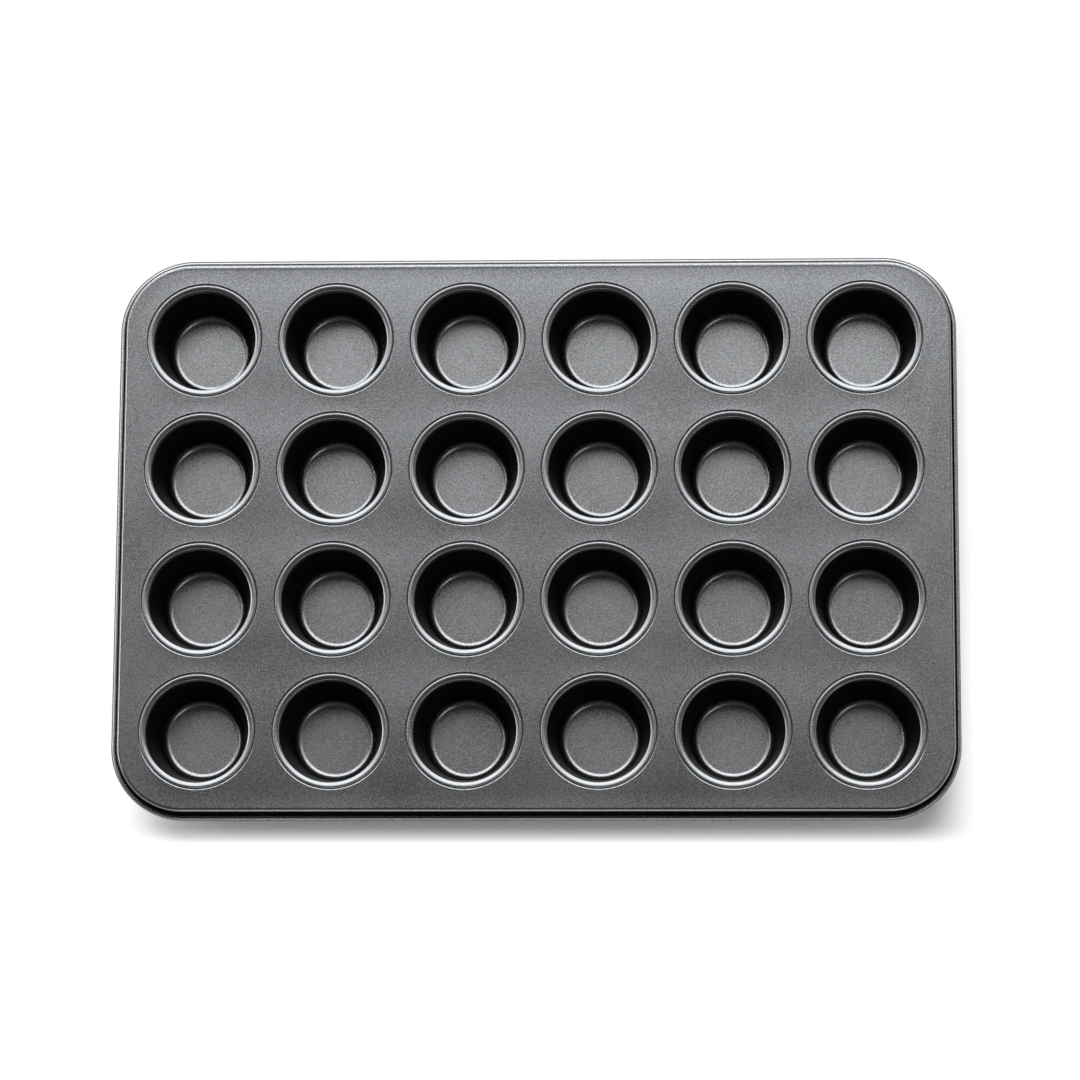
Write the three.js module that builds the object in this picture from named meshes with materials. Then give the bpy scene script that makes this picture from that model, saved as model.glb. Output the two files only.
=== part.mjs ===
// A muffin pan of coated steel: a punched top sheet with a rolled hem, a stiffening wire inside the hem
// and separately drawn cups, each crimped into its own stepped seat. Millimetres, +Z up. The origin is
// on the surface that the cups stand on, under the middle of the rim.

import * as THREE from 'three';
import { mergeGeometries, mergeVertices } from 'three/addons/utils/BufferGeometryUtils.js';

// How many cups
const cupRows = 4;
const cupColumns = 6;

// Steel
const sheetGauge = 0.6;
const cupGauge = 0.6;
const wireDiameter = 1.3;

// Clearances
const crimpGap = 0.25; // between a cup and the edge of its hole, above it, inside it and below it
const seamGap = 0.25; // from the lip's outer edge to the foot of the seat's shoulder
const wireGap = 0.2; // between the wire and the hem rolled round it

// Cup
const cupDepth = 30; // from the top of the sheet to the inner floor
const mouthRadius = 24.3; // inside the neck
const wallTopRadius = 24; // inside, just under the lock bead
const floorRadius = 18.75; // inside, where wall and floor would meet without their fillet
const floorFillet = 3.8;
const lipOverhang = 2.25; // of the folded lip, outside the neck
const lipCrown = 0.7; // of the lip, above the sheet
const lockBeadDepth = 0.85; // how far the bead under the sheet swells out
const lockBeadHeight = 1.7;

// Sheet
const seatDrop = 0.6; // how far each seat is pressed below the sheet
const shoulderRun = 0.7; // width of the sloping step down to the seat
const webWidth = 6.8; // flat metal between neighbouring seats
const leftMargin = 8.4; // flat metal outside the outermost seats
const rightMargin = 11.5;
const backMargin = 8.4;
const frontMargin = 7.8;
const cornerRadius = 30; // of the flat part of the sheet, in plan
const edgeBend = 1.5; // outside radius of the bend down to the skirt
const skirtDrop = 10.5; // from the top of the sheet to the middle of the wire
const skirtFlare = 1.3;
const hemTurn = THREE.MathUtils.degToRad(290); // how far the hem is rolled round the wire

// Facets
const cupSides = 16;
const cornerSteps = 6;
const bendSteps = 2;
const filletSteps = 3;
const lipSteps = 4;
const hemSteps = 7;
const wireSides = 8;

// Heights
const floorTop = cupGauge;
const sheetTop = floorTop + cupDepth;
const seatTop = sheetTop - seatDrop;
const seatBottom = seatTop - sheetGauge;
const lipBottom = seatTop + crimpGap;
const beadTop = seatBottom - crimpGap;
const beadMiddle = beadTop - lockBeadHeight / 2;
const beadBottom = beadTop - lockBeadHeight;
const wireHeight = sheetTop - skirtDrop;

// Radii about a cup's axis
const neckRadius = mouthRadius + cupGauge;
const holeRadius = neckRadius + crimpGap;
const lipRadius = neckRadius + lipOverhang;
const shoulderFoot = lipRadius + seamGap;
const seatRadius = shoulderFoot + shoulderRun;
const shoulderSlope = Math.atan2(seatDrop, shoulderRun);
const undersideShift = sheetGauge * Math.tan(shoulderSlope / 2); // keeps the step as thick as the sheet

// Plan of the sheet: the cups' grid, and the outline of the flat metal round it
const cupPitch = 2 * seatRadius + webWidth;
const gridLength = (cupColumns - 1) * cupPitch + 2 * seatRadius;
const gridWidth = (cupRows - 1) * cupPitch + 2 * seatRadius;
const halfLength = (leftMargin + gridLength + rightMargin) / 2;
const halfWidth = (backMargin + gridWidth + frontMargin) / 2;

// Section of the rim, as distances outward from the edge of the flat metal
const hemInside = wireDiameter / 2 + wireGap;
const hemOutside = hemInside + sheetGauge;
const wireOffset = edgeBend + skirtFlare + hemInside;

function coatedSteel(colour) {
  return new THREE.MeshStandardMaterial({ color: colour, roughness: 0.45, metalness: 0.7 });
}

// Row 1 is at the back and column 1 at the left.
function cupCentre(row, column) {
  const x = -halfLength + leftMargin + seatRadius + (column - 1) * cupPitch;
  const y = halfWidth - backMargin - seatRadius - (row - 1) * cupPitch;
  return new THREE.Vector2(x, y);
}

function allCups() {
  const cups = [];
  for (let row = 1; row <= cupRows; row += 1) {
    for (let column = 1; column <= cupColumns; column += 1) {
      cups.push({ name: `cup_r${row}_c${column}`, centre: cupCentre(row, column) });
    }
  }
  return cups;
}

// Points of an arc in a section: from one angle to another, both ends included.
function arcPoints(centre, radiusX, radiusY, from, to, steps) {
  const points = [];
  for (let step = 0; step <= steps; step += 1) {
    const angle = from + ((to - from) * step) / steps;
    points.push(new THREE.Vector2(centre.x + radiusX * Math.cos(angle), centre.y + radiusY * Math.sin(angle)));
  }
  return points;
}

// The sheet's outline in plan, moved outward by some distance and set at a height, anticlockwise.
function outlineLoop(outward, height) {
  const radius = cornerRadius + outward;
  const reachX = halfLength - cornerRadius;
  const reachY = halfWidth - cornerRadius;
  const corners = [[1, 1], [-1, 1], [-1, -1], [1, -1]];
  return corners.flatMap(([sideX, sideY], quarter) => {
    const middle = new THREE.Vector2(sideX * reachX, sideY * reachY);
    const from = (quarter * Math.PI) / 2;
    const arc = arcPoints(middle, radius, radius, from, from + Math.PI / 2, cornerSteps);
    return arc.map((point) => new THREE.Vector3(point.x, point.y, height));
  });
}

// A circle round a cup's axis at a height, anticlockwise.
function circleLoop(centre, radius, height) {
  const circle = arcPoints(centre, radius, radius, 0, 2 * Math.PI, cupSides).slice(0, cupSides);
  return circle.map((point) => new THREE.Vector3(point.x, point.y, height));
}

// A skin through loops of equal length, which faces to the right of the way that the loops step.
function loftedSkin(loops, joinsItself) {
  const count = loops[0].length;
  const spans = joinsItself ? loops.length : loops.length - 1;
  const index = [];
  for (let span = 0; span < spans; span += 1) {
    const here = span * count;
    const there = ((span + 1) % loops.length) * count;
    for (let side = 0; side < count; side += 1) {
      const next = (side + 1) % count;
      index.push(here + side, there + side, here + next);
      index.push(here + next, there + side, there + next);
    }
  }
  const skin = new THREE.BufferGeometry().setFromPoints(loops.flat());
  skin.setIndex(index);
  return skin;
}

// The flat metal between an outline and the circles round the cups, facing up or down.
function flatSkin(circleRadius, height, facesUp) {
  const shape = new THREE.Shape(outlineLoop(0, height));
  for (const { centre } of allCups()) {
    shape.holes.push(new THREE.Path(circleLoop(centre, circleRadius, height)));
  }
  const skin = new THREE.ShapeGeometry(shape).translate(0, 0, height);
  skin.deleteAttribute('normal');
  skin.deleteAttribute('uv');
  if (!facesUp) {
    skin.index.array.reverse();
  }
  return skin;
}

// One seat: from the underside of the sheet, round the edge of the hole, to the top of the sheet.
function seatSkin(centre) {
  return loftedSkin([
    circleLoop(centre, seatRadius + undersideShift, sheetTop - sheetGauge),
    circleLoop(centre, shoulderFoot + undersideShift, seatBottom),
    circleLoop(centre, holeRadius, seatBottom),
    circleLoop(centre, holeRadius, seatTop),
    circleLoop(centre, shoulderFoot, seatTop),
    circleLoop(centre, seatRadius, sheetTop),
  ], false);
}

// The rim: bend, skirt and hem outside, and back along the inside. Sections run outward and up.
function rimSkin() {
  const bendCentre = new THREE.Vector2(0, sheetTop - edgeBend);
  const wireCentre = new THREE.Vector2(wireOffset, wireHeight);
  const innerBend = edgeBend - sheetGauge;
  const hemEnd = Math.PI + hemTurn;
  const section = [
    ...arcPoints(bendCentre, edgeBend, edgeBend, Math.PI / 2, 0, bendSteps),
    ...arcPoints(wireCentre, hemInside, hemInside, Math.PI, hemEnd, hemSteps),
    ...arcPoints(wireCentre, hemOutside, hemOutside, hemEnd, Math.PI, hemSteps),
    ...arcPoints(bendCentre, innerBend, innerBend, 0, Math.PI / 2, bendSteps),
  ];
  return loftedSkin(section.map((point) => outlineLoop(point.x, point.y)), false);
}

function frameSheet() {
  const skins = [
    flatSkin(seatRadius, sheetTop, true),
    flatSkin(seatRadius + undersideShift, sheetTop - sheetGauge, false),
    rimSkin(),
    ...allCups().map(({ centre }) => seatSkin(centre)),
  ];
  const sheet = mergeVertices(mergeGeometries(skins));
  sheet.computeVertexNormals();
  const mesh = new THREE.Mesh(sheet, coatedSteel(0x54565a));
  mesh.name = 'frame_sheet';
  return mesh;
}

// The wire follows the rim all the way round and closes on itself.
function rimWire() {
  const radius = wireDiameter / 2;
  const wireCentre = new THREE.Vector2(wireOffset, wireHeight);
  const section = arcPoints(wireCentre, radius, radius, 2 * Math.PI, 0, wireSides).slice(0, wireSides);
  const wire = loftedSkin(section.map((point) => outlineLoop(point.x, point.y)), true);
  wire.computeVertexNormals();
  const mesh = new THREE.Mesh(wire, new THREE.MeshStandardMaterial({
    color: 0xa8abad,
    roughness: 0.35,
    metalness: 1,
  }));
  mesh.name = 'rim_wire';
  return mesh;
}

// The cup's section from the middle of its inner floor, up the wall, over the lip, and down the outside.
function cupSection() {
  const lean = Math.atan2(wallTopRadius - floorRadius, beadBottom - floorTop); // of the wall, from upright
  const filletReach = floorFillet * Math.tan((Math.PI / 2 - lean) / 2);
  const filletCentre = new THREE.Vector2(floorRadius - filletReach, floorTop + floorFillet);
  const outerFillet = floorFillet + cupGauge;
  const outerShift = cupGauge / Math.cos(lean); // the wall's thickness, measured level
  const lipMiddle = new THREE.Vector2((mouthRadius + lipRadius) / 2, lipBottom);
  const lipHalfWidth = (lipRadius - mouthRadius) / 2;
  const lipHeight = sheetTop + lipCrown - lipBottom;
  return [
    new THREE.Vector2(0, floorTop),
    ...arcPoints(filletCentre, floorFillet, floorFillet, -Math.PI / 2, -lean, filletSteps),
    new THREE.Vector2(wallTopRadius, beadBottom),
    new THREE.Vector2(mouthRadius + lockBeadDepth, beadMiddle),
    new THREE.Vector2(mouthRadius, beadTop),
    ...arcPoints(lipMiddle, lipHalfWidth, lipHeight, Math.PI, 0, lipSteps),
    new THREE.Vector2(neckRadius, lipBottom),
    new THREE.Vector2(neckRadius, beadTop),
    new THREE.Vector2(neckRadius + lockBeadDepth, beadMiddle),
    new THREE.Vector2(wallTopRadius + outerShift, beadBottom),
    ...arcPoints(filletCentre, outerFillet, outerFillet, -lean, -Math.PI / 2, filletSteps),
    new THREE.Vector2(0, floorTop - cupGauge),
  ];
}

function cup({ name, centre }) {
  const turned = new THREE.LatheGeometry(cupSection().reverse(), cupSides).rotateX(Math.PI / 2);
  const mesh = new THREE.Mesh(turned, coatedSteel(0x4c4e51));
  mesh.name = name;
  mesh.position.set(centre.x, centre.y, 0);
  return mesh;
}

const muffinPan = new THREE.Group();
muffinPan.add(frameSheet(), rimWire(), ...allCups().map(cup));

export default muffinPan;
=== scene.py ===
import math
import bmesh
import bpy
from mathutils import Matrix, Vector


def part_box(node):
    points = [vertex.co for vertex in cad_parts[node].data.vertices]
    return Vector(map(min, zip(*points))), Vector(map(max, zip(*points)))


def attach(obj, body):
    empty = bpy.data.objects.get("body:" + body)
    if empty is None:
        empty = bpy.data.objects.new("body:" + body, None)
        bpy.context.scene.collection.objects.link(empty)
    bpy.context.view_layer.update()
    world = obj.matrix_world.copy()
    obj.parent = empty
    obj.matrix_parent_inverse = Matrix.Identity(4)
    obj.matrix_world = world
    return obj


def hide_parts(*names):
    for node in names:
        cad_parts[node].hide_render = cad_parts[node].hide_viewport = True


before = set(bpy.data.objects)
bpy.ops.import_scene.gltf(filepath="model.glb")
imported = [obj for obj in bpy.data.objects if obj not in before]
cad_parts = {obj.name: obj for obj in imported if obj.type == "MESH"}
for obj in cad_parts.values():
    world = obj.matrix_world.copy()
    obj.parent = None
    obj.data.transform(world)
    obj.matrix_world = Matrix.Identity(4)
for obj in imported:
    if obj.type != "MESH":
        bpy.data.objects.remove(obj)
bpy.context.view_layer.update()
mm = 0.001
mergeDistance = 0.002 * mm
roundSteps = 10  # of every rounded corner and bend
scene = bpy.context.scene
cupNodes = sorted(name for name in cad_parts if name.startswith("cup_"))
print("frame:", len(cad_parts), "nodes,", len(cupNodes), "cups")


class Sock:  # a shader value that takes part in Python sums
    def __init__(self, tree, socket):
        self.tree = tree
        self.socket = socket

    def maths(self, operation, first, second=0.0, clamp=False):
        made = self.tree.nodes.new("ShaderNodeMath")
        made.operation = operation
        made.use_clamp = clamp
        for slot, value in zip(made.inputs, (first, second)):
            if isinstance(value, Sock):
                self.tree.links.new(value.socket, slot)
            else:
                slot.default_value = value
        return Sock(self.tree, made.outputs[0])

    def __add__(self, other):
        return self.maths("ADD", self, other)

    def __sub__(self, other):
        return self.maths("SUBTRACT", self, other)

    def __mul__(self, other):
        return self.maths("MULTIPLY", self, other)

    def __truediv__(self, other):
        return self.maths("DIVIDE", self, other)

    def __radd__(self, other):
        return self.maths("ADD", other, self)

    def __rsub__(self, other):
        return self.maths("SUBTRACT", other, self)

    def __rmul__(self, other):
        return self.maths("MULTIPLY", other, self)

    def __rtruediv__(self, other):
        return self.maths("DIVIDE", other, self)

    def rise(self, low, high):  # 0 below low, 1 above high
        return self.maths("MULTIPLY", self - low, 1.0 / (high - low), clamp=True)


class Shade:  # the nodes of one material or of the world
    def __init__(self, owner):
        owner.use_nodes = True
        self.owner = owner
        self.tree = owner.node_tree

    def plug(self, socket, value):
        if isinstance(value, Sock):
            self.tree.links.new(value.socket, socket)
        else:
            socket.default_value = value

    def add(self, kind, settings=None, inputs=None, out=0):
        made = self.tree.nodes.new(kind)
        for key, value in (settings or {}).items():
            setattr(made, key, value)
        for key, value in (inputs or {}).items():
            self.plug(made.inputs[key], value)
        return Sock(self.tree, made.outputs[out])

    def set(self, node, **values):
        for key, value in values.items():
            self.plug(self.tree.nodes[node].inputs[key.replace("_", " ")], value)

    def mixColour(self, factor, first, second):
        return self.add("ShaderNodeMix", {"data_type": "RGBA", "clamp_factor": False},
                        {0: factor, 6: first, 7: second}, out=2)

    def noise(self, place, size, detail=2.0, roughness=0.5):  # size in metres
        return self.add("ShaderNodeTexNoise", {"noise_dimensions": "3D"},
                        {"Vector": place, "Scale": 1.0 / size, "Detail": detail, "Roughness": roughness})

    def objectPlace(self):
        return self.add("ShaderNodeTexCoord", out=3)

    def part(self, vector, axis):
        return self.add("ShaderNodeSeparateXYZ", inputs={0: vector}, out=axis)

    def dot(self, ray, direction):
        return self.add("ShaderNodeVectorMath", {"operation": "DOT_PRODUCT"}, {0: ray, 1: direction}, out=1)


# The coat on sheet and cups: fine metallic grain, faint clouds, painted shade (near-black) on the drawn cup
# walls and skirt, painted light on the cup floors, and burnished edges lightened further as a painted
# highlight
coatLook = {
    "dark": (0.122, 0.126, 0.131, 1.0),
    "light": (0.231, 0.238, 0.246, 1.0),
    "drawn": (0.020, 0.021, 0.022, 1.0),  # painted shade: near-black for the cup walls and skirt
    "rubbed": (0.34, 0.35, 0.36, 1.0),    # burnished edges, lightened further as a painted highlight
    "edgeTint": (0.13, 0.13, 0.13, 1.0),  # at a glancing view
    "grainSize": 0.75 * mm,
    "grainDetail": 3.0,
    "grainBreak": 0.6,
    "specSize": 0.36 * mm,
    "specDetail": 1.0,
    "cloudSize": 42 * mm,
    "tone": 0.42,         # from dark to light, before grain, specs and clouds move it
    "grainTone": 3.2,
    "specTone": 2.1,
    "cloudTone": 0.35,
    "glint": 0.42,        # how much lighter the strongest grains are
    "grainDepth": 0.008 * mm,
    "specDepth": 0.5,     # against the grain's
    "bumpStrength": 0.6,
    "roughness": 0.28,
    "grainRough": 0.08,
    "cloudRough": 0.06,
    "specular": 0.05,
}

# Where the coat of the cups and of the sheet changes, in millimetres above the table
cupCoat = {
    # painted light: the cup floors are coloured lighter than the coat, for light the walls keep off them
    "floorDark": (0.170, 0.175, 0.181, 1.0),
    "floorLight": (0.322, 0.331, 0.341, 1.0),
    "floorFade": (1.2, 3.0),    # where the floor's painted light ends
    "grainFade": (0.62, 0.80),  # where its full grain ends
    "wallGrain": 0.35,
    # the lip's crown: burnished, and lightened further as a painted highlight
    "crownRise": (30.2, 30.7),  # where the lip's crown starts
    "crownRub": 0.35,
    "drawn": (3.4, 29.8, 0.3),  # from, to and softness of the wall band painted in shade
    "drawnDull": 0.2,           # how much less metallic it is
}
sheetCoat = {
    "grain": 1.1,
    # hem top and seat shoulders: burnished, and lightened further as a painted highlight
    "hemTop": (21.2, 21.7, 0.2),
    "hemRub": 0.6,
    "shoulder": (29.2, 30.55, 0.05),  # of each seat
    "shoulderRub": 0.35,
    "shoulderPolish": 0.09,
    "drawn": (22.2, 29.7, 0.3),       # the skirt, painted in shade
    "drawnDull": 0.05,
}


def riseAt(height, low, high):  # 0 below low and 1 above high, in millimetres
    return height.rise(low * mm, high * mm)


def band(height, low, high, soft):  # 1 between two heights, in millimetres
    return riseAt(height, low - soft, low + soft) * (1.0 - riseAt(height, high - soft, high + soft))


def coatFinish(name, marks):
    look = coatLook
    isCup = marks is cupCoat
    made = Shade(bpy.data.materials.new(name))
    place = made.objectPlace()
    height = made.part(place, 2)
    grain = made.noise(place, look["grainSize"], look["grainDetail"], look["grainBreak"])
    specs = made.noise(place, look["specSize"], look["specDetail"])
    clouds = made.noise(place, look["cloudSize"])
    if isCup:
        flat = 1.0 - riseAt(height, *marks["grainFade"])
        strength = marks["wallGrain"] + flat * (1.0 - marks["wallGrain"])
    else:
        strength = marks["grain"]
    speckle = ((grain - 0.5) * look["grainTone"] + (specs - 0.5) * look["specTone"]) * strength
    tone = look["tone"] + speckle + speckle * speckle * look["glint"] + (clouds - 0.5) * look["cloudTone"]
    rough = look["roughness"] + (grain - 0.5) * look["grainRough"] + (clouds - 0.5) * look["cloudRough"]
    colour = made.mixColour(tone, look["dark"], look["light"])
    if isCup:
        # painted light: the cup floor is coloured lighter than the rest of the coat
        floor = 1.0 - riseAt(height, *marks["floorFade"])
        colour = made.mixColour(floor, colour, made.mixColour(tone, marks["floorDark"], marks["floorLight"]))
        rubbed = riseAt(height, *marks["crownRise"]) * marks["crownRub"]
    else:
        shoulder = band(height, *marks["shoulder"])
        rubbed = shoulder * marks["shoulderRub"] + band(height, *marks["hemTop"]) * marks["hemRub"]
        rough = rough - shoulder * marks["shoulderPolish"]
    # painted shade: the cup walls and the skirt are coloured near-black
    drawn = band(height, *marks["drawn"])
    # burnished edges, partly a painted highlight
    colour = made.mixColour(rubbed, colour, look["rubbed"])
    colour = made.mixColour(drawn, colour, look["drawn"])
    relief = (grain + specs * look["specDepth"]) * strength
    bump = made.add("ShaderNodeBump", inputs={"Strength": look["bumpStrength"], "Height": relief,
                                              "Distance": look["grainDepth"]})
    made.set("Principled BSDF", Base_Color=colour, Roughness=rough, Metallic=1.0 - drawn * marks["drawnDull"],
             Normal=bump, Specular_Tint=look["edgeTint"], Specular_IOR_Level=look["specular"])
    return made.owner


def finishPiece(name, bm, material, slot, *nodes):
    mesh = bpy.data.meshes.new(name)
    bm.to_mesh(mesh)
    bm.free()
    for polygon in mesh.polygons:
        polygon.use_smooth = True
    piece = bpy.data.objects.new(name, mesh)
    scene.collection.objects.link(piece)
    mesh.materials.append(material)
    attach(piece, "root")
    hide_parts(*nodes)
    return piece


# What every piece shares
sheetLow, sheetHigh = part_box("frame_sheet")
sheetTop = sheetHigh[2]


def cupCentre(node):
    low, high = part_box(node)
    return (Vector(low) + Vector(high)) / 2


def arc(centre, radiusX, radiusY, fromDeg, toDeg, steps):
    turns = [math.radians(fromDeg + (toDeg - fromDeg) * step / steps) for step in range(steps + 1)]
    return [(centre[0] + radiusX * math.cos(turn), centre[1] + radiusY * math.sin(turn)) for turn in turns]


def mergeSkin(bm):
    bmesh.ops.remove_doubles(bm, verts=bm.verts[:], dist=mergeDistance)
    bmesh.ops.recalc_face_normals(bm, faces=bm.faces[:])


# Cup: a wire section with rounded corners, spun round its axis
cupLook = {
    "gauge": 0.6,
    "mouth": 24.3,        # inside the neck
    "wallTop": 24.0,      # inside, under the lock bead
    "floor": 18.75,       # inside corner of wall and floor
    "floorFillet": 3.4,
    "floorHold": 0.3,     # flat ring kept beside the fillet
    "lipCrest": 26.45,    # radius of the lip's highest ring
    "lipRise": 0.7,       # of that ring above the sheet
    "lipSweep": 4.2,      # radius of the lip's inner slope
    "lipTilt": 26.0,      # degrees, where that slope meets the neck
    "lipNeck": 0.35,      # rounding there
    "lipOuter": 0.5,      # height of its outer slope
    "lipOuterSteps": 8,
    "lipUnder": 0.35,     # underside of the lip below the sheet
    "lipEdge": 0.12,      # rounding at that underside's outer edge
    "lipRoot": 0.1,       # and where it meets the neck
    "beadTop": 1.45,      # lock bead, below the sheet
    "beadHeight": 1.7,
    "beadDepth": 0.85,
    "beadRound": 0.42,
    "turns": 112,
}


def cupSection():  # radius, height, rounding along both sides of the corner
    look = cupLook
    top = sheetTop / mm
    low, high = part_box(cupNodes[0])
    lipRadius = (high[0] - low[0]) / 2 / mm
    neck = look["mouth"] + look["gauge"]
    beadEnd = look["beadTop"] + look["beadHeight"]
    beadMiddle = look["beadTop"] + look["beadHeight"] / 2
    lean = math.atan2(look["wallTop"] - look["floor"], top - beadEnd - look["gauge"])
    half = math.tan((math.pi / 2 - lean) / 2)
    crest = top + look["lipRise"]
    inner = arc((look["lipCrest"], crest - look["lipSweep"]), look["lipSweep"], look["lipSweep"],
                90 + look["lipTilt"], 90, roundSteps)
    neckTop = inner[0][1] - (inner[0][0] - look["mouth"]) * math.tan(math.radians(look["lipTilt"]))
    outer = arc((look["lipCrest"], crest - look["lipOuter"]), lipRadius - look["lipCrest"], look["lipOuter"],
                90, 0, look["lipOuterSteps"])
    flat = look["floor"] - look["floorFillet"] * half - look["floorHold"]
    return [
        (0, look["gauge"], 0),
        (flat, look["gauge"], 0),
        (look["floor"], look["gauge"], look["floorFillet"] * half),
        (look["wallTop"], top - beadEnd, look["beadRound"]),
        (look["mouth"] + look["beadDepth"], top - beadMiddle, look["beadRound"]),
        (look["mouth"], top - look["beadTop"], look["beadRound"]),
        (look["mouth"], neckTop, look["lipNeck"]),
        *[(radius, height, 0) for radius, height in inner + outer[1:]],
        (lipRadius, top - look["lipUnder"], look["lipEdge"]),
        (neck, top - look["lipUnder"], look["lipRoot"]),
        (neck, top - look["beadTop"], look["beadRound"]),
        (neck + look["beadDepth"], top - beadMiddle, look["beadRound"]),
        (look["wallTop"] + look["gauge"] / math.cos(lean), top - beadEnd, look["beadRound"]),
        (look["floor"] + look["gauge"] * half, 0, (look["floorFillet"] + look["gauge"]) * half),
        (flat, 0, 0),
        (0, 0, 0),
    ]


def cupMesh():
    section = cupSection()
    bm = bmesh.new()
    corners = [bm.verts.new((radius * mm, 0, height * mm)) for radius, height, rounding in section]
    for here, there in zip(corners, corners[1:]):
        bm.edges.new((here, there))
    for corner, (radius, height, rounding) in zip(corners, section):
        if rounding:
            bmesh.ops.bevel(bm, geom=[corner], offset=rounding * mm, offset_type="OFFSET",
                            segments=roundSteps, profile=0.5, affect="VERTICES", material=-1)
    bmesh.ops.spin(bm, geom=bm.verts[:] + bm.edges[:], cent=(0, 0, 0), axis=(0, 0, 1), dvec=(0, 0, 0),
                   angle=2 * math.pi, steps=cupLook["turns"], use_merge=True, use_duplicate=False)
    mergeSkin(bm)
    return bm


def buildCups():
    coat = coatFinish("cupCoat", cupCoat)
    pattern = cupMesh()
    for node in cupNodes:
        centre = cupCentre(node)
        bm = pattern.copy()
        bmesh.ops.translate(bm, verts=bm.verts[:], vec=(centre.x, centre.y, 0))
        finishPiece("drawn" + node.title().replace("_", ""), bm, coat, "cup_coat", node)
    pattern.free()
    print("cups:", len(cupNodes))


# Sheet: a filled outline, with a stepped seat round each hole and a rim turned down and rolled
sheetLook = {
    "gauge": 0.6,
    "cornerRadius": 30.0,
    "hole": 25.15,
    "shoulderTop": 28.0,
    "shoulderFoot": 27.26,
    "shoulderTilt": 17.0,  # degrees
    "footBend": [(0.06, 0.02), (0.0, -0.01), (-0.03, -0.07)],  # out and up from the shoulder's foot
    "seatEdge": 27.20,     # where the seat's floor starts
    "seatDrop": 0.6,
    "seatLift": 0.02,      # of the shoulder's upper bend above the flat
    "seatRound": 0.5,      # of that bend
    "seatRoundSteps": 4,
    "hold": 0.6,           # ring beside each seat that rises to it
    "rimHold": 2.4,        # strip beside the rim's bend that curls up
    "rimLift": 0.015,
    "rimHalfway": 0.25,    # share of that lift in the middle of the strip
    "bend": 1.5,
    "backLift": 0.035,     # at the back the sheet curls up more and bends over more gently
    "backBendReach": 0.9,  # both ways from the edge of the flat
    "backBendTall": 0.9,
    "frontShift": 0.7,     # how much further out the bend lies at the front, over a steeper skirt
    "frontHold": 0.5,      # strip beside that bend
    "frontHalfway": 0.5,   # share of the lift where that strip starts
    "rightTuck": 0.8,      # how much less the skirt flares at the right
    "flare": 1.3,
    "wireDrop": 10.5,
    "hemInside": 0.85,
    "hemTurn": 290.0,
    "turns": 112,
    "cornerSteps": 28,
    "hemSteps": 22,
}


def wireOffset():  # from the flat metal's edge to the middle of the wire
    return sheetLook["bend"] + sheetLook["flare"] + sheetLook["hemInside"]


def rimOffset():  # from the flat metal's edge to the outside of the hem
    return wireOffset() + sheetLook["hemInside"] + sheetLook["gauge"]


def outward(point):  # away from the middle, square to the outline
    coreX = sheetHigh[0] - (rimOffset() + sheetLook["cornerRadius"]) * mm
    coreY = sheetHigh[1] - (rimOffset() + sheetLook["cornerRadius"]) * mm
    core = Vector((max(-coreX, min(coreX, point.x)), max(-coreY, min(coreY, point.y))))
    return (Vector((point.x, point.y)) - core).normalized()


def outlineLoop(out):  # a closed loop of edges, some millimetres out from the flat metal's edge
    reach = [sheetHigh[axis] + (out - rimOffset()) * mm for axis in (0, 1)]
    bm = bmesh.new()
    bmesh.ops.create_grid(bm, x_segments=1, y_segments=1, size=1.0)
    bmesh.ops.scale(bm, vec=(reach[0], reach[1], 1), verts=bm.verts[:])
    bmesh.ops.bevel(bm, geom=bm.verts[:], offset=(sheetLook["cornerRadius"] + out) * mm, offset_type="OFFSET",
                    segments=sheetLook["cornerSteps"], profile=0.5, affect="VERTICES", material=-1)
    bmesh.ops.delete(bm, geom=bm.faces[:], context="FACES_ONLY")
    return bm


def seatSection():  # radius and height above the flat: over the shoulder, down its slope, in to the hole
    look = sheetLook
    top, foot, tilt, bend = look["shoulderTop"], look["shoulderFoot"], look["shoulderTilt"], look["seatRound"]
    half = math.tan(math.radians(tilt / 2))
    fall = (top - foot) * math.tan(math.radians(tilt))
    return [
        (top + look["hold"] / 2, look["seatLift"] / 2),
        *arc((top + bend * half, look["seatLift"] - bend), bend, bend, 90, 90 + tilt, look["seatRoundSteps"]),
        *[(foot + out, up - fall) for out, up in look["footBend"]],
        (look["seatEdge"], -look["seatDrop"]),
        (look["hole"], -look["seatDrop"]),
    ]


def rimSections():  # out from the flat metal's edge and up from its top: plain sides, back, front
    look = sheetLook
    hem = arc((wireOffset(), -look["wireDrop"]), look["hemInside"], look["hemInside"],
              180, 180 + look["hemTurn"], look["hemSteps"])
    plain = arc((0, look["rimLift"] - look["bend"]), look["bend"], look["bend"], 90, 0, roundSteps)
    back = arc((-look["backBendReach"], look["backLift"] - look["backBendTall"]),
               2 * look["backBendReach"], look["backBendTall"], 90, 0, roundSteps)
    front = [(out + look["frontShift"], height) for out, height in plain]
    start = (-look["rimHold"], 0.0)
    middle = -look["rimHold"] / 2
    nearFront = look["frontShift"] - look["frontHold"]
    return ([start, (middle, look["rimLift"] * look["rimHalfway"]), *plain, *hem],
            [start, (middle, look["backLift"] * look["rimHalfway"]), *back, *hem],
            [start, (nearFront, look["rimLift"] * look["frontHalfway"]), *front, *hem])


def rimPoint(sections, step, side):
    plain, back, front = (Vector(section[step]) for section in sections)
    point = plain.lerp(back, max(0.0, side.y)).lerp(front, max(0.0, -side.y))
    fallen = min(1.0, max(0.0, -point.y / sheetLook["wireDrop"]))
    point.x -= sheetLook["rightTuck"] * max(0.0, side.x) * fallen
    return point


def extrudeLoop(bm, edges):
    made = bmesh.ops.extrude_edge_only(bm, edges=edges)["geom"]
    verts = [item for item in made if isinstance(item, bmesh.types.BMVert)]
    fresh = set(verts)
    rungs = [item for item in made if isinstance(item, bmesh.types.BMEdge)]
    return verts, [edge for edge in rungs if fresh.issuperset(edge.verts)]


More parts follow.
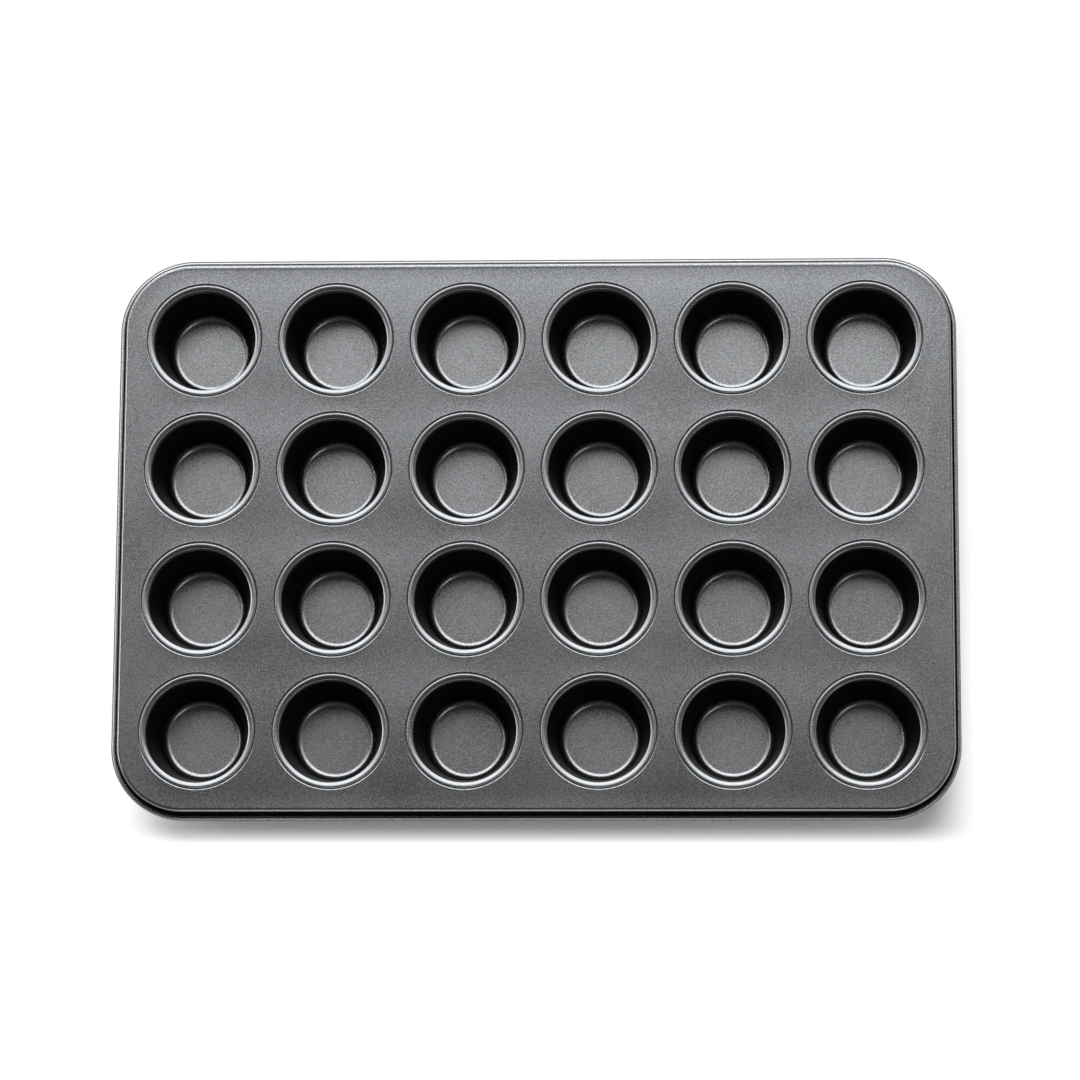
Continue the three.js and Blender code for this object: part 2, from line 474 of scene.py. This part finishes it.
def buildSheet():
    look = sheetLook
    bm = outlineLoop(-look["rimHold"])
    outline = bm.edges[:]
    outermost = look["shoulderTop"] + look["hold"]
    rings = []
    for node in cupNodes:
        centre = cupCentre(node)
        made = bmesh.ops.create_circle(bm, cap_ends=False, segments=look["turns"], radius=outermost * mm,
                                       matrix=Matrix.Translation((centre.x, centre.y, 0)))
        rings.append((centre, list({edge for vert in made["verts"] for edge in vert.link_edges})))
    bmesh.ops.triangle_fill(bm, edges=bm.edges[:], use_beauty=True, use_dissolve=False)

    seat = seatSection()
    for centre, edges in rings:
        at = outermost
        depth = 0.0
        for radius, height in seat:
            verts, edges = extrudeLoop(bm, edges)
            bmesh.ops.scale(bm, vec=(radius / at, radius / at, 1), verts=verts,
                            space=Matrix.Translation((-centre.x, -centre.y, 0)))
            bmesh.ops.translate(bm, vec=(0, 0, (height - depth) * mm), verts=verts)
            at, depth = radius, height

    # bend, skirt and hem are the skin that is outside on the skirt and inside in the hem
    edges = outline
    sections = rimSections()
    for step in range(1, len(sections[0])):
        verts, edges = extrudeLoop(bm, edges)
        for vert in verts:
            side = outward(vert.co)
            out, height = rimPoint(sections, step, side) - rimPoint(sections, step - 1, side)
            vert.co += Vector((side.x * out, side.y * out, height)) * mm

    bmesh.ops.translate(bm, vec=(0, 0, sheetTop), verts=bm.verts[:])
    mergeSkin(bm)
    widest = max(bm.faces, key=lambda face: face.calc_area())
    if widest.normal.z < 0:  # the skin is open, so its normals may all point down
        bmesh.ops.reverse_faces(bm, faces=bm.faces[:])
    piece = finishPiece("topSheet", bm, coatFinish("sheetCoat", sheetCoat), "sheet_coat", "frame_sheet")
    wall = piece.modifiers.new("gauge", "SOLIDIFY")
    wall.thickness = look["gauge"] * mm
    wall.offset = -1.0
    wall.use_even_offset = True
    print("sheet:", len(piece.data.polygons), "faces")


# Wire inside the hem
wireLook = {
    "radius": 0.65,
    "around": 14,
    "dark": (0.42, 0.42, 0.43, 1.0),
    "light": (0.56, 0.56, 0.57, 1.0),
    "grainSize": 0.6 * mm,
    "roughness": 0.3,
    "grainRough": 0.15,
}


def wireFinish(name):
    look = wireLook
    made = Shade(bpy.data.materials.new(name))
    drawn = made.noise(made.objectPlace(), look["grainSize"])
    colour = made.mixColour(drawn, look["dark"], look["light"])
    rough = look["roughness"] + drawn * look["grainRough"]
    made.set("Principled BSDF", Base_Color=colour, Roughness=rough, Metallic=1.0)
    return made.owner


def buildWire():
    radius = wireLook["radius"]
    bm = outlineLoop(wireOffset() + radius)
    edges = bm.edges[:]
    at = radius
    depth = 0.0
    for out, height in arc((0, 0), radius, radius, 0, 360, wireLook["around"])[1:]:
        verts, edges = extrudeLoop(bm, edges)
        for vert in verts:
            away = outward(vert.co) * (out - at) * mm
            vert.co += Vector((away.x, away.y, (height - depth) * mm))
        at, depth = out, height
    bmesh.ops.translate(bm, vec=(0, 0, sheetTop - sheetLook["wireDrop"] * mm), verts=bm.verts[:])
    mergeSkin(bm)
    finishPiece("hemWire", bm, wireFinish("drawnWire"), "hem_wire", "rim_wire")
    print("wire:", wireLook["around"], "sides")


# Floor: white paper that keeps the pan's shadow near it and is plain white further out, in metres
floorLook = {
    "size": 40.0,
    "drop": 0.00005,  # keeps it clear of the cups' undersides
    "colour": (0.96, 0.96, 0.96, 1.0),
    "roughness": 0.9,
    "white": (1.0, 1.0, 1.0, 1.0),
    "shadeEdge": (-0.036, -0.014, -0.001, -0.025),  # left, right, front, back, out from the rim: shaded paper
    "shadeFade": 0.009,
    "shadeSteep": (0.3, 0.45, 1.0, 1.0),  # below 1 the fade is longer, in the same order
}


def paperDistance(made):  # how far a point of the floor is outside the shaded paper
    place = made.objectPlace()
    total = None
    for axis in (0, 1):
        low = sheetLow[axis] - floorLook["shadeEdge"][2 * axis]
        high = sheetHigh[axis] + floorLook["shadeEdge"][2 * axis + 1]
        along = made.part(place, axis)
        before = (low - along) * floorLook["shadeSteep"][2 * axis]
        after = (along - high) * floorLook["shadeSteep"][2 * axis + 1]
        beyond = before.maths("MAXIMUM", before.maths("MAXIMUM", before, after), 0.0)
        total = beyond * beyond if total is None else total + beyond * beyond
    return total.maths("SQRT", total)


def paperFinish(name):
    made = Shade(bpy.data.materials.new(name))
    made.set("Principled BSDF", Base_Color=floorLook["colour"], Roughness=floorLook["roughness"],
             Specular_IOR_Level=0.0)
    fade = paperDistance(made).rise(0.0, floorLook["shadeFade"])
    camera, glossy, transmission = (made.add("ShaderNodeLightPath", out=kind) for kind in (0, 3, 6))
    seen = camera + glossy + transmission
    white = made.add("ShaderNodeEmission", inputs={"Color": floorLook["white"], "Strength": 1.0})
    plain = Sock(made.tree, made.tree.nodes["Principled BSDF"].outputs[0])
    mixed = made.add("ShaderNodeMixShader", inputs={0: fade * fade * seen, 1: plain, 2: white})
    made.set("Material Output", Surface=mixed)
    return made.owner


def buildFloor():
    bm = bmesh.new()
    bmesh.ops.create_grid(bm, x_segments=1, y_segments=1, size=floorLook["size"] / 2)
    bmesh.ops.translate(bm, vec=(0, 0, -floorLook["drop"]), verts=bm.verts[:])
    mesh = bpy.data.meshes.new("floor")
    bm.to_mesh(mesh)
    bm.free()
    floor = bpy.data.objects.new("floor", mesh)
    scene.collection.objects.link(floor)
    mesh.materials.append(paperFinish("whitePaper"))
    print("floor:", floorLook["size"], "m")


# Studio: a dim dome with soft panels, seen in the metal
studioLook = {
    "domeTop": 0.06,       # overhead
    "domeSide": 0.50,      # lower down
    "domeFade": (62, 42),  # degrees from overhead, between the two
    "horizonTop": 7.0,     # degrees of white wall above the floor
    "horizonFade": 1.3,    # it ends at this many times their sine
    "panelRim": 0.05,      # panels show only ahead of their own plane
    "panels": [  # degrees: tilt from overhead, turn from the back to the right, half height, half width
        {"tilt": 39.6, "turn": -2, "tall": 22.5, "wide": 26.5, "roll": 6, "soft": 3, "level": 4.1},
        {"tilt": 58, "turn": -80, "tall": 9, "wide": 13, "roll": 0, "soft": 4, "level": 5.0},
        {"tilt": 53, "turn": -48, "tall": 11, "wide": 12, "roll": 0, "soft": 5, "level": 2.4},
        {"tilt": 48, "turn": 85, "tall": 22, "wide": 25, "roll": 0, "soft": 10, "level": 0.15},
        {"tilt": 72, "turn": 90, "tall": 9, "wide": 20, "roll": 0, "soft": 4, "level": 1.2},
        {"tilt": 51, "turn": 138, "tall": 7, "wide": 10, "roll": 0, "soft": 3, "level": 2.6},
        {"tilt": 69, "turn": 177, "tall": 10, "wide": 15, "roll": 0, "soft": 3, "level": 1.9},
    ],
}


def panelGlow(made, ray, panel):
    tilt, turn, roll = (math.radians(panel[key]) for key in ("tilt", "turn", "roll"))
    facing = Vector((math.sin(turn) * math.sin(tilt), math.cos(turn) * math.sin(tilt), math.cos(tilt)))
    level = Vector((math.cos(turn), -math.sin(turn), 0))
    across = level * math.cos(roll) + level.cross(facing) * math.sin(roll)
    ahead = made.dot(ray, facing)
    soft = math.tan(math.radians(panel["soft"]))
    glow = ahead.rise(0.0, studioLook["panelRim"]) * panel["level"]
    for direction, half in ((across, panel["wide"]), (across.cross(facing), panel["tall"])):
        off = made.dot(ray, direction) / ahead
        inside = math.tan(math.radians(half)) - off.maths("ABSOLUTE", off)
        glow = glow * inside.rise(-soft, soft)
    return glow


def buildStudio():
    look = studioLook
    scene.world = bpy.data.worlds.new("studio")
    made = Shade(scene.world)
    ray = made.add("ShaderNodeTexCoord", out=0)
    height = made.part(ray, 2)
    side, top = (math.cos(math.radians(angle)) for angle in look["domeFade"])
    dome = look["domeTop"] + (1.0 - height.rise(side, top)) * (look["domeSide"] - look["domeTop"])
    wall = math.sin(math.radians(look["horizonTop"]))
    glow = dome + (1.0 - dome) * (1.0 - height.rise(wall, wall * look["horizonFade"]))
    for panel in look["panels"]:
        glow = glow + panelGlow(made, ray, panel)
    made.set("Background", Color=(1.0, 1.0, 1.0, 1.0), Strength=glow)
    scene.view_settings.view_transform = "Standard"
    print("studio:", len(look["panels"]), "panels")


cameraLook = {
    "eye": (0.09304, -0.42652, 2.1155),
    "target": (0.0020, -0.00369, 0.0306),
    "lens": 150.23,
    "sensor": 36.0,
    "rollDeg": 0.311,
    "farthest": 50.0,
}


def buildCamera():
    lens = bpy.data.cameras.new("camera")
    lens.lens = cameraLook["lens"]
    lens.sensor_width = cameraLook["sensor"]
    lens.clip_end = cameraLook["farthest"]
    camera = bpy.data.objects.new("camera", lens)
    eye = Vector(cameraLook["eye"])
    ahead = (Vector(cameraLook["target"]) - eye).normalized()
    right = ahead.cross(Vector((0, 1, 0))).normalized()
    upward = right.cross(ahead)
    roll = Matrix.Rotation(math.radians(cameraLook["rollDeg"]), 3, "Z")
    turn = Matrix((right, upward, -ahead)).transposed() @ roll
    camera.matrix_world = Matrix.Translation(eye) @ turn.to_4x4()
    scene.collection.objects.link(camera)
    scene.camera = camera
    print("camera at", tuple(round(v, 3) for v in eye))


buildCamera()
buildCups()
buildSheet()
buildWire()
buildFloor()
buildStudio()
